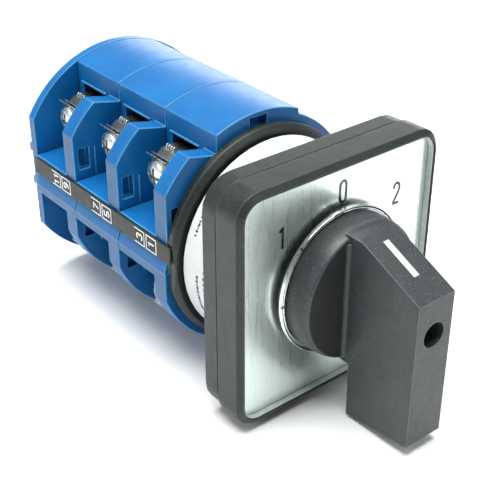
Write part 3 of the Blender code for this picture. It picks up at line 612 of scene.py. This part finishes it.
def cover_rim(front):
    """Two bright ridges as a painted highlight, with a dark ring of painted shade between them,
    notched in four places.
    """
    inner, outer = RIM
    rings = []
    for radius, width, height in ((inner + 0.0002, 0.0002, 0.0001),
                                  (outer - 0.00015, 0.00016, 0)):
        crown = [(radius + width * cos(radians(a)), width * sin(radians(a)))
                 for a in range(0, 181, 20)]
        ring = ring_mesh(crown + [(radius - width, -0.0008), (radius + width, -0.0008)], 120)
        rings.append(along_y(ring, front + width + height))
    ridges = merged(rings)
    notches = [turned_block(angle, inner - RIM_NOTCH_HALF_REACH, outer + RIM_NOTCH_HALF_REACH,
                            0.0006, front - MM, front + 0.0005) for angle in RIM_NOTCHES]
    ridges = boolean(ridges, "DIFFERENCE", *notches)
    piece("cover_rim", ridges, "rim", "housing")
    # painted shade: a dark ring between the ridges
    shade_ring = ring_mesh([(inner + 0.0003, 0), (outer - 0.0003, 0), (outer - 0.0003, -0.0006),
                        (inner + 0.0003, -0.0006)], 96)
    piece("cover_rim_painted_shade", along_y(shade_ring, front + 0.0003), "ink", "housing")
    # painted highlight: the stop takes the same bright finish
    stop = rounded(block((inner, front - 0.00002, -0.0016),
                         (outer + 0.0002, front + 0.0008, 0.0016)), 0.0003, 3)
    stop.transform(Matrix.Rotation(-radians(RIM_STOP_ANGLE), 4, "Y"))
    piece("cover_rim_stop", stop, "rim", "housing")


def ring_mesh(profile, steps):
    """A closed profile of (radius, height) turned round Z into a ring."""
    bm = bmesh.new()
    rings = [[bm.verts.new((radius * cos(2 * pi * i / steps), radius * sin(2 * pi * i / steps),
                            height)) for i in range(steps)] for radius, height in profile]
    for lower, upper in zip(rings, rings[1:] + rings[:1]):
        for i in range(steps):
            j = (i + 1) % steps
            bm.faces.new((lower[i], lower[j], upper[j], upper[i]))
    bmesh.ops.recalc_face_normals(bm, faces=bm.faces)
    mesh = bpy.data.meshes.new("ring")
    bm.to_mesh(mesh)
    bm.free()
    return mesh


def turned_block(angle, inner, outer, width, front, rear):
    """A small block across a ring at that angle from +X towards +Z."""
    mesh = block((inner, front, -width / 2), (outer, rear, width / 2))
    mesh.transform(Matrix.Rotation(-radians(angle), 4, "Y"))
    return mesh


def dial():
    low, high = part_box("legend_plate")
    plate = boolean(prism(rounded_square(high.x, PLATE_CORNER), low.y, high.y), "DIFFERENCE",
                    tube(DIAL_HOLE, low.y - MM, high.y + MM, steps=64))
    piece("legend_plate_look", rounded(tidy_mesh(plate), 0.00008, 1), "silver", "housing",
          ("legend_plate",))
    for character, centre in DIAL_NUMERALS.items():
        ink = numeral(character, centre, DIAL_NUMERAL_SIZE, DIAL_NUMERAL_STROKE,
                      low.y - 0.00006, low.y - 0.00002)
        piece(f"dial_numeral_{character}", ink, "ink", "housing")


LABEL_ROWS = (      # y, height, first and last angle, angle from mark to mark
    (0.0050, 0.0015, 172, 209, 1.7),
    (0.0084, 0.0009, 178, 202, 1.1),
    (0.0112, 0.0008, 120, 160, 1.3),
)


def label():
    """The drum's label, with rows of short plain bars in place of print."""
    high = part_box("rating_label")[1]
    from_node("rating_label", "label", "housing", 0.0)
    radius = high.z + 0.00001
    marks = []
    for y, height, start, end, step in LABEL_ROWS:
        count = int((end - start) / step)
        for i in range(count):
            if i % 6 == 4:
                continue
            at = start + i * step
            wide = 0.45 if i % 3 else 0.8
            outline = arc(radius + 0.00004, at, at + step * wide, 2)
            outline += arc(radius - 0.00003, at + step * wide, at, 2)
            marks.append(prism(outline, y, y + height * (1 if i % 2 else 0.7)))
    piece("label_marks", merged(marks), "ink", "housing")


def front_of_switch():
    from_node("front_frame", "black", "housing", 0.0006, 3)
    from_node("detent_housing", "black", "housing", 0.0007, 3)
    from_node("flange_ring", "black", "housing", 0.0002)
    dial()
    clear_cover()
    label()
    for number in range(1, 5):
        from_node(f"fixing_screw_{number}", "zinc", "housing", 0.0001)


# ---- handle --------------------------------------------------------------------------------
GRIP_HALF = 0.00575
KNOB_RADIUS = 0.0184
KNOB_FRONT = -0.021
KNOB_REAR = -0.0136
KNOB_SHOULDER = -0.0168
KNOB_FACE_RADIUS = 0.0173
HUB_RADIUS = 0.0095
GRIP_ROOT = -0.0195         # inside the knob
ACCESS_RADIUS = 0.0033
ACCESS_FLOOR = -0.0338
GRIP_TOP_RADIUS = 0.0187
RAMP_TOP = (-0.0246, 0.0181)
RAMP_FOOT = 0.0096
TAIL = ((-0.0435, -0.0303), (-0.0231, -0.0328), (-0.0229, -0.0175))
CREASE = 0.0011


def handle():
    low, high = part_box("handle")
    grip_front = low.y
    slope = (RAMP_TOP[1] - RAMP_FOOT) / (RAMP_TOP[0] - grip_front)
    ramp_top = RAMP_FOOT + slope * (GRIP_ROOT - grip_front)
    shoulder = [(KNOB_FACE_RADIUS + (KNOB_RADIUS - KNOB_FACE_RADIUS) * cos(radians(a)),
                 -KNOB_SHOULDER + (KNOB_SHOULDER - KNOB_FRONT) * sin(radians(a)))
                for a in range(0, 80, 10)]
    knob = lathe([(0, -high.y), (HUB_RADIUS, -high.y), (HUB_RADIUS, -KNOB_REAR),
                  (KNOB_RADIUS - 0.0001, -KNOB_REAR), (KNOB_RADIUS, 0.0003 - KNOB_REAR)]
                 + shoulder + [(KNOB_FACE_RADIUS, -KNOB_FRONT), (0, -KNOB_FRONT)], 120)
    along_y(knob)
    outline = [(GRIP_ROOT, ramp_top), (grip_front, RAMP_FOOT), *TAIL, (GRIP_ROOT, TAIL[-1][1])]
    grip = prism(outline, -GRIP_HALF, GRIP_HALF, axis="X")
    outside = boolean(block((-0.02, -0.05, 0.012), (0.02, -0.015, 0.03)), "DIFFERENCE",
                      tube(GRIP_TOP_RADIUS, -0.06, 0, steps=120))
    grip = boolean(grip, "DIFFERENCE", outside)
    body = boolean(knob, "UNION", grip, *[crease(side) for side in (-1, 1)])
    body = rounded(tidy_mesh(body, 0.5), 0.00022, 2, radians(40))
    pocket = block((-0.0009, 0, -0.0009), (0.0009, 0.0113, MM))
    pocket.transform(ramp_matrix(0.0024))
    body = boolean(body, "DIFFERENCE",
                   tube(ACCESS_RADIUS, grip_front - MM, ACCESS_FLOOR, steps=48), pocket,
                   block((-0.0038, -0.0308, -0.0038), (0.0038, 0, 0.0038)))
    piece("handle_body", body, "handle", "rotor", ("handle",), 40)
    mark = block((-0.0008, 0, -0.0008), (0.0008, 0.0110, 0))
    mark = rounded(mark, 0.00005, 1)
    mark.transform(ramp_matrix(0.0025))
    piece("handle_mark_look", mark, "white", "rotor", ("handle_mark",))
    from_node("handle_screw", "zinc", "rotor", 0.0001)
    from_node("shaft", "steel", "rotor", 0.0002)


def ramp_place():
    start = Vector((0, *RAMP_TOP))
    along = (Vector((0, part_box("handle")[0].y, RAMP_FOOT)) - start).normalized()
    return start, along, Vector((0, along.z, -along.y))


def ramp_matrix(offset):
    """Local Y runs down the ramp and local Z out of it."""
    start, along, outward = ramp_place()
    turn = Matrix((along.cross(outward), along, outward)).transposed().to_4x4()
    turn.translation = start + along * offset
    return turn


def crease(side):
    """The hollow fillet between the knob's front face and a side of the grip."""
    root = GRIP_HALF - 0.0002
    deep = KNOB_FRONT + 0.0002
    hollow = [(root + 0.0002 + CREASE - CREASE * sin(radians(a)),
               KNOB_FRONT - CREASE + CREASE * cos(radians(a))) for a in range(0, 91, 15)]
    outline = [(root, deep), (root + 0.0002 + CREASE, deep), *hollow, (root, KNOB_FRONT - CREASE)]
    placed = [(side * x, y) for x, y in outline]
    return prism(placed, -0.0160, 0.0156, axis="Z")


# ---- stack ---------------------------------------------------------------------------------
BODY_RADIUS = 0.0335
FIN_RADIUS = 0.0349
LOW_FIN_RADIUS = 0.0321
LOW_HALF = 0.0302
LOW_HALF_TOP = -0.0025
BODY_HALF = 0.0292
BARREL_HALF = 0.0134
FIN = 0.005
FIN_TOP = 0.0274
FIN_ROOT = 0.0255
FLOORS = (0.0062, -0.005)
WINDOW_Y = (0.0075, 0.0188)
WINDOW_Z = (0.0198, 0.0249)
CHAMBER = (0.0112, 0.0293)          # half width and far side of a contact chamber
POCKET_X = (0.0243, 0.0276)
POCKETS = ((0.0090, 0.0152), (-0.0120, -0.0085))


def span(side, values):
    return sorted((side * values[0], side * values[1]))


def low_fin(half):
    """The arc of a lower fin, from the flat side up to the barrel's wall."""
    start = degrees(acos(half / LOW_FIN_RADIUS))
    return arc(LOW_FIN_RADIUS, start, degrees(acos(BARREL_HALF / LOW_FIN_RADIUS)), 14)


def section_outline():
    """A section from the front: only its upper left fin is tall."""
    shoulder = degrees(acos(BARREL_HALF / BODY_RADIUS))
    crown = arc(BODY_RADIUS, shoulder, 180 - shoulder, 24)
    flat_start = degrees(acos(BODY_HALF / FIN_RADIUS))
    tall = arc(FIN_RADIUS, flat_start, degrees(asin(FIN_TOP / FIN_RADIUS)), 12)
    tall.append((BARREL_HALF, FIN_ROOT))
    upper = low_fin(BODY_HALF) + crown + [(-x, z) for x, z in reversed(tall)]
    wide = low_fin(LOW_HALF)
    lower = wide + crown + [(-x, z) for x, z in reversed(wide)]
    left = [(-BODY_HALF, LOW_HALF_TOP), (-LOW_HALF, LOW_HALF_TOP)]
    right = [(LOW_HALF, LOW_HALF_TOP), (BODY_HALF, LOW_HALF_TOP)]
    return upper + left + [(-x, -z) for x, z in lower] + right


def section_shell(depth):
    """The moulded body of a section, from y = 0 to y = depth."""
    far = FIN_RADIUS + MM
    shell = prism(section_outline(), 0, depth)
    bays = []
    for low, high in ((-far, -BARREL_HALF), (BARREL_HALF, far)):
        bays.append(block((low, FIN, FLOORS[0]), (high, depth + MM, far)))
        bays.append(block((low, FIN, -far), (high, depth + MM, FLOORS[1])))
    shell = rounded(tidy_mesh(boolean(shell, "DIFFERENCE", *bays)), 0.0003, 2)
    cuts = [tube(0.0125, FIN + 0.0003, depth + MM, steps=40),
            block((-CHAMBER[0], FIN + 0.0003, 0.006), (CHAMBER[0], depth + MM, CHAMBER[1])),
            block((-CHAMBER[0], FIN + 0.0003, -CHAMBER[1]), (CHAMBER[0], depth + MM, -0.006)),
            tube(0.0054, -MM, FIN + MM, steps=32),
            block((-0.0030, -MM, 0.0289), (0.0026, 0.002, 0.0322))]
    for side in (-1, 1):
        x_low, x_high = span(side, (0.0102, BARREL_HALF + MM))
        p_low, p_high = span(side, POCKET_X)
        cuts.append(tube(0.0022, -MM, depth + MM, side * 0.023, 0.0002, 24))
        for low, high in (WINDOW_Z, (-WINDOW_Z[1], -WINDOW_Z[0])):
            cuts.append(block((x_low, WINDOW_Y[0], low), (x_high, WINDOW_Y[1], high)))
        for low, high in POCKETS:
            cuts.append(block((p_low, -MM, low), (p_high, 0.002, high)))
    return boolean(shell, "DIFFERENCE", *cuts)


def section_trim(depth):
    """Lips under the number strips, ledges over the windows and ribs on the fins."""
    meshes = []
    for side in (-1, 1):
        slope = [(BODY_HALF - 0.0006, 0.0005), (BODY_HALF + 0.0001, 0.0005), (0.0303, -0.0022),
                 (0.0303, -0.0028), (BODY_HALF - 0.0006, -0.0030)]
        placed = [(side * x, z) for x, z in slope]
        meshes.append(rounded(prism(placed, 0.0001, depth - 0.0001), 0.00015, 2))
        for up in (-1, 1):
            x_low, x_high = span(side, (BARREL_HALF - 0.0004, BARREL_HALF + 0.00055))
            z_low, z_high = span(up, (WINDOW_Z[1] + 0.0002, WINDOW_Z[1] + 0.0008))
            ledge = block((x_low, WINDOW_Y[0] - 0.0007, z_low),
                          (x_high, WINDOW_Y[1] + 0.0004, z_high))
            meshes.append(rounded(ledge, 0.00018, 2))
            r_low, r_high = span(side, (0.0222, 0.0227))
            z_low, z_high = span(up, (abs(FLOORS[0 if up > 0 else 1]) + 0.0002, 0.0145))
            rib = block((r_low, -0.0002, z_low), (r_high, 0.0006, z_high))
            meshes.append(rounded(rib, 0.00012, 2))
    return merged(meshes)


TERMINAL_PAD = ((-0.0188, 0.0209), (-0.0180, 0.0090))     # x, z of its two ends
TERMINAL_SCREW_AT = 0.27
TERMINAL_HEAD = 0.00405
TERMINAL_DOME = 0.0013
RIB_PROFILE = ((-0.0178, 0.0220), (-0.0170, 0.0220), (-0.0163, 0.0238), (-0.0171, 0.0238))


def terminal_frame():
    """Where a terminal screw crosses its pad, local Z pointing out along the screw."""
    top, bottom = (Vector(end) for end in TERMINAL_PAD)
    place = top.lerp(bottom, TERMINAL_SCREW_AT)
    along = (bottom - top).normalized()
    outward = Vector((along.y, 0, -along.x))
    side = Vector((0, 1, 0))
    turn = Matrix((side.cross(outward), side, outward)).transposed().to_4x4()
    turn.translation = Vector((place.x, 0, place.y))
    return turn


def terminal_meshes():
    """The upper left terminal about its contact plane: screw, clamp plates and ribs."""
    low = 0.001
    head_low = low + 0.0012
    top = head_low + 0.0028
    dome = [(TERMINAL_HEAD * cos(radians(a)),
             top - TERMINAL_DOME + TERMINAL_DOME * sin(radians(a))) for a in range(0, 90, 10)]
    head = lathe([(0, head_low), (0.0039, head_low), (TERMINAL_HEAD, head_low + 0.0002)] + dome
                 + [(0, top)], 40)
    cuts = []
    for wide, tall in ((0.0025, 0.00048), (0.00048, 0.0025)):
        cuts.append(block((-wide, -tall, top - TERMINAL_DOME), (wide, tall, top + MM)))
    head = boolean(head, "DIFFERENCE", *cuts)
    shank = lathe([(0, -0.0044), (0.0018, -0.0044), (0.0021, -0.0041),
                   (0.0021, head_low + 0.0001), (0, head_low + 0.0001)], 20)
    head = merged([head, shank])
    clamp = merged([curved_plate(0.0048, low, 0.0003, 0.0007),
                    curved_plate(0.0052, low + 0.0006, 0.0003, 0.0017)])
    turn = terminal_frame()
    head.transform(turn)
    clamp.transform(turn)
    ribs = []
    for i in range(4):
        y = -0.0001 + i * 0.001
        ribs.append(rounded(prism(RIB_PROFILE, y - 0.0003, y + 0.0003), 0.00015, 2))
    return head, clamp, merged(ribs)


def curved_plate(half, base, thickness, rise):
    """A clamp plate whose two ends curl up a little."""
    steps = 10
    lower = []
    for i in range(steps + 1):
        x = -half + 2 * half * i / steps
        lower.append((x, base + rise * abs(x / half) ** 3 * (1 if x > 0 else 0.1)))
    outline = lower + [(x, z + thickness) for x, z in reversed(lower)]
    return rounded(prism(outline, -0.0043, 0.0043), 0.0001, 1)


def terminals():
    head, clamp, ribs = terminal_meshes()
    for k in SECTIONS:
        for corner, (x, z) in CORNERS.items():
            low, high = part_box(f"fixed_contact_{k}_{corner}")
            turn = Matrix.Translation((0, (low.y + high.y) / 2, 0))
            if (x, z) == (-1, 1):
                turn @= Matrix.Rotation(pi, 4, "Z")
            elif (x, z) == (1, -1):
                turn @= Matrix.Rotation(pi, 4, "X")
            elif (x, z) == (-1, -1):
                turn @= Matrix.Rotation(pi, 4, "Y")
            end = f"{k}_{corner}"
            from_node(f"fixed_contact_{end}", "contact", "housing", 0.00012)
            for name, mesh, finish, slot, stands in (
                    ("screw", head, "zinc", "zinc_steel", (f"terminal_screw_{end}",)),
                    ("clamp", clamp, "zinc", "zinc_steel", ()),
                    ("ribs", ribs, "zinc", "contact_metal", ())):
                copy = mesh.copy()
                copy.transform(turn)
                piece(f"terminal_{name}_{end}", copy, finish, "housing", stands, 40)


NUMBER_PITCH = 0.0205
NUMBER_START = 0.0019
NUMBER_OFFSETS = (0.0040, 0.0092)
NUMBER_BOX = (0.0021, 0.0020)       # half width and half height


def number_strips():
    """Dark strips with boxed numerals, one pair of boxes for each section."""
    for side, name in ((-1, "left"), (1, "right")):
        low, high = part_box(f"number_strip_{name}")
        strip = rounded(block(low, high), 0.00012, 1)
        piece(f"number_strip_{name}_look", strip, "strip", "housing",
              (f"number_strip_{name}",))
        middle = (low.z + high.z) / 2
        prints, fields = [], []
        for k in SECTIONS:
            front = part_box("section_1")[0].y + NUMBER_START + (k - 1) * NUMBER_PITCH
            texts = (str(4 * k - 3), str(4 * k - 1))
            for text, offset in zip(texts, NUMBER_OFFSETS):
                x = side * (front + offset)
                wide, tall = NUMBER_BOX
                prints.append(outline_box((x - wide, middle - tall), (x + wide, middle + tall),
                                          0.00026, text == texts[0], side))
                prints.append(numeral(text, (x, middle), (0.0016, 0.0023), 0.00042, -0.00005, 0,
                                      pi / 2, 1.1))
                fields.append(block((x - 0.0020, -0.00002, middle - 0.0019),
                                    (x + 0.0020, 0, middle + 0.0019)))
        face = high.x if side > 0 else low.x
        turn = Matrix(((0, -side, 0, face), (side, 0, 0, 0), (0, 0, 1, 0), (0, 0, 0, 1)))
        for part, meshes, finish in (("print", prints, "print"), ("field", fields, "ink")):
            ink = merged(meshes)
            ink.transform(turn)
            piece(f"number_strip_{name}_{part}", ink, finish, "housing")


def outline_box(low, high, width, closed, side):
    """A thin frame round a numeral; one that is not closed has no bar on its rear side."""
    half = width / 2
    bars = [((low[0] - half, low[1] - half), (high[0] + half, low[1] + half)),
            ((low[0] - half, high[1] - half), (high[0] + half, high[1] + half))]
    for x in (low[0], high[0]):
        if closed or x != (high[0] if side > 0 else low[0]):
            bars.append(((x - half, low[1] + half), (x + half, high[1] - half)))
    return merged([block((a[0], -0.00004, a[1]), (b[0], 0, b[1])) for a, b in bars])


def stack():
    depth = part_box("section_1")[1].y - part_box("section_1")[0].y
    shell, trim = section_shell(depth), section_trim(depth)
    for k in SECTIONS:
        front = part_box(f"section_{k}")[0].y
        for name, mesh, stands in (("shell", shell, (f"section_{k}",)), ("trim", trim, ())):
            copy = mesh.copy()
            copy.transform(Matrix.Translation((0, front, 0)))
            piece(f"section_{k}_{name}", copy, "blue", "housing", stands)
        for row in ("upper", "lower"):
            paint_node(f"contact_bridge_{k}_{row}", "contact")
        paint_node(f"cam_{k}", "cream")
    terminals()
    number_strips()
    from_node("rear_cover", "blue", "housing", 0.0003)
    for side in ("left", "right"):
        from_node(f"tie_bolt_{side}", "zinc", "housing", 0.0001)
        paint_node(f"detent_roller_{side}", "zinc")
    paint_node("detent_star", "cream")
    paint_node("detent_spring", "steel")


# ---- stage ---------------------------------------------------------------------------------
CAMERA_AT = Vector((-0.1562, -0.1686, 0.1405))
CAMERA_AZIMUTH = radians(39.35)
CAMERA_ELEVATION = radians(30.73)
CAMERA_ROLL = radians(0.16)
CAMERA_LENS = 76.75


def camera():
    data = bpy.data.cameras.new("camera")
    data.sensor_width = 36
    data.lens = CAMERA_LENS
    data.clip_start = 0.01
    data.clip_end = 10
    obj = bpy.data.objects.new("camera", data)
    bpy.context.scene.collection.objects.link(obj)
    azimuth, elevation, roll = CAMERA_AZIMUTH, CAMERA_ELEVATION, CAMERA_ROLL
    forward = Vector((sin(azimuth) * cos(elevation), cos(azimuth) * cos(elevation),
                      -sin(elevation)))
    right = Vector((cos(azimuth), -sin(azimuth), 0))
    up = right.cross(forward)
    across = cos(roll) * right + sin(roll) * up
    above = -sin(roll) * right + cos(roll) * up
    turn = Matrix((across, above, -forward)).transposed().to_4x4()
    turn.translation = CAMERA_AT
    obj.matrix_world = turn
    bpy.context.scene.camera = obj


def area_light(name, place, target, size, power):
    data = bpy.data.lights.new(name, "AREA")
    data.shape = "RECTANGLE"
    data.size, data.size_y = size
    data.energy = power
    obj = bpy.data.objects.new(name, data)
    bpy.context.scene.collection.objects.link(obj)
    obj.location = place
    obj.rotation_mode = "QUATERNION"
    obj.rotation_quaternion = (Vector(target) - Vector(place)).to_track_quat("-Z", "Y")


FLOOR_HALF = 12
FLOOR_DEPTH = 0.01


def floor():
    """Pale paper under the lowest point of the CAD."""
    paint = Paint("floor_paper")
    paint.link(paint.ramp(paint.noise(6, 3), [(0.3, (0.93, 0.945, 0.945)),
                                              (0.7, (0.95, 0.96, 0.96))]),
               paint.shader.inputs["Base Color"])
    paint.set(Roughness=0.7, Specular_IOR_Level=0.2)
    low = LOADED_BOUNDS[0].z
    mesh = block((-FLOOR_HALF, -FLOOR_HALF, low - FLOOR_DEPTH), (FLOOR_HALF, FLOOR_HALF, low))
    mesh.materials.append(paint.material)
    obj = bpy.data.objects.new("floor", mesh)
    bpy.context.scene.collection.objects.link(obj)


WORLD_SHADES = ((0.0, 0.17), (0.35, 0.24), (0.6, 0.37), (1.0, 0.52))
LIGHTS = (      # name, place, target, size, power
    ("overhead", (-0.03, 0.02, 0.68), (0, 0.02, 0), (0.55, 0.6), 10.2),
    ("back_right", (0.6, 0.5, 0.12), (0, 0.04, 0), (0.7, 0.18), 2.2),
    ("left", (-0.6, 0.15, 0.3), (0, 0.03, 0), (0.4, 0.3), 0.9),
    ("front", (0.35, -0.45, 0.3), (0.03, -0.06, -0.03), (0.35, 0.35), 0.6),
)


def lights():
    """A pale studio, darker in front of the switch than behind it."""
    world = bpy.data.worlds.new("studio")
    bpy.context.scene.world = world
    world.use_nodes = True
    background = world.node_tree.nodes["Background"]
    background.inputs["Strength"].default_value = 1.0
    nodes, links = world.node_tree.nodes, world.node_tree.links
    coordinates = nodes.new("ShaderNodeTexCoord")
    axes = nodes.new("ShaderNodeSeparateXYZ")
    ramp = nodes.new("ShaderNodeValToRGB")
    while len(ramp.color_ramp.elements) < len(WORLD_SHADES):
        ramp.color_ramp.elements.new(0.5)
    for element, (position, shade) in zip(ramp.color_ramp.elements, WORLD_SHADES):
        element.position = position
        element.color = (shade, shade * 1.01, shade * 1.005, 1)
    level = nodes.new("ShaderNodeMapRange")
    level.inputs["From Min"].default_value = -1
    links.new(coordinates.outputs["Generated"], axes.inputs["Vector"])
    links.new(axes.outputs["Y"], level.inputs["Value"])
    links.new(level.outputs["Result"], ramp.inputs["Fac"])
    links.new(ramp.outputs["Color"], background.inputs["Color"])
    for light in LIGHTS:
        area_light(*light)
    bpy.context.scene.view_settings.view_transform = "Standard"
    bpy.context.scene.view_settings.look = "None"


front_of_switch()
handle()
stack()
camera()
floor()
lights()
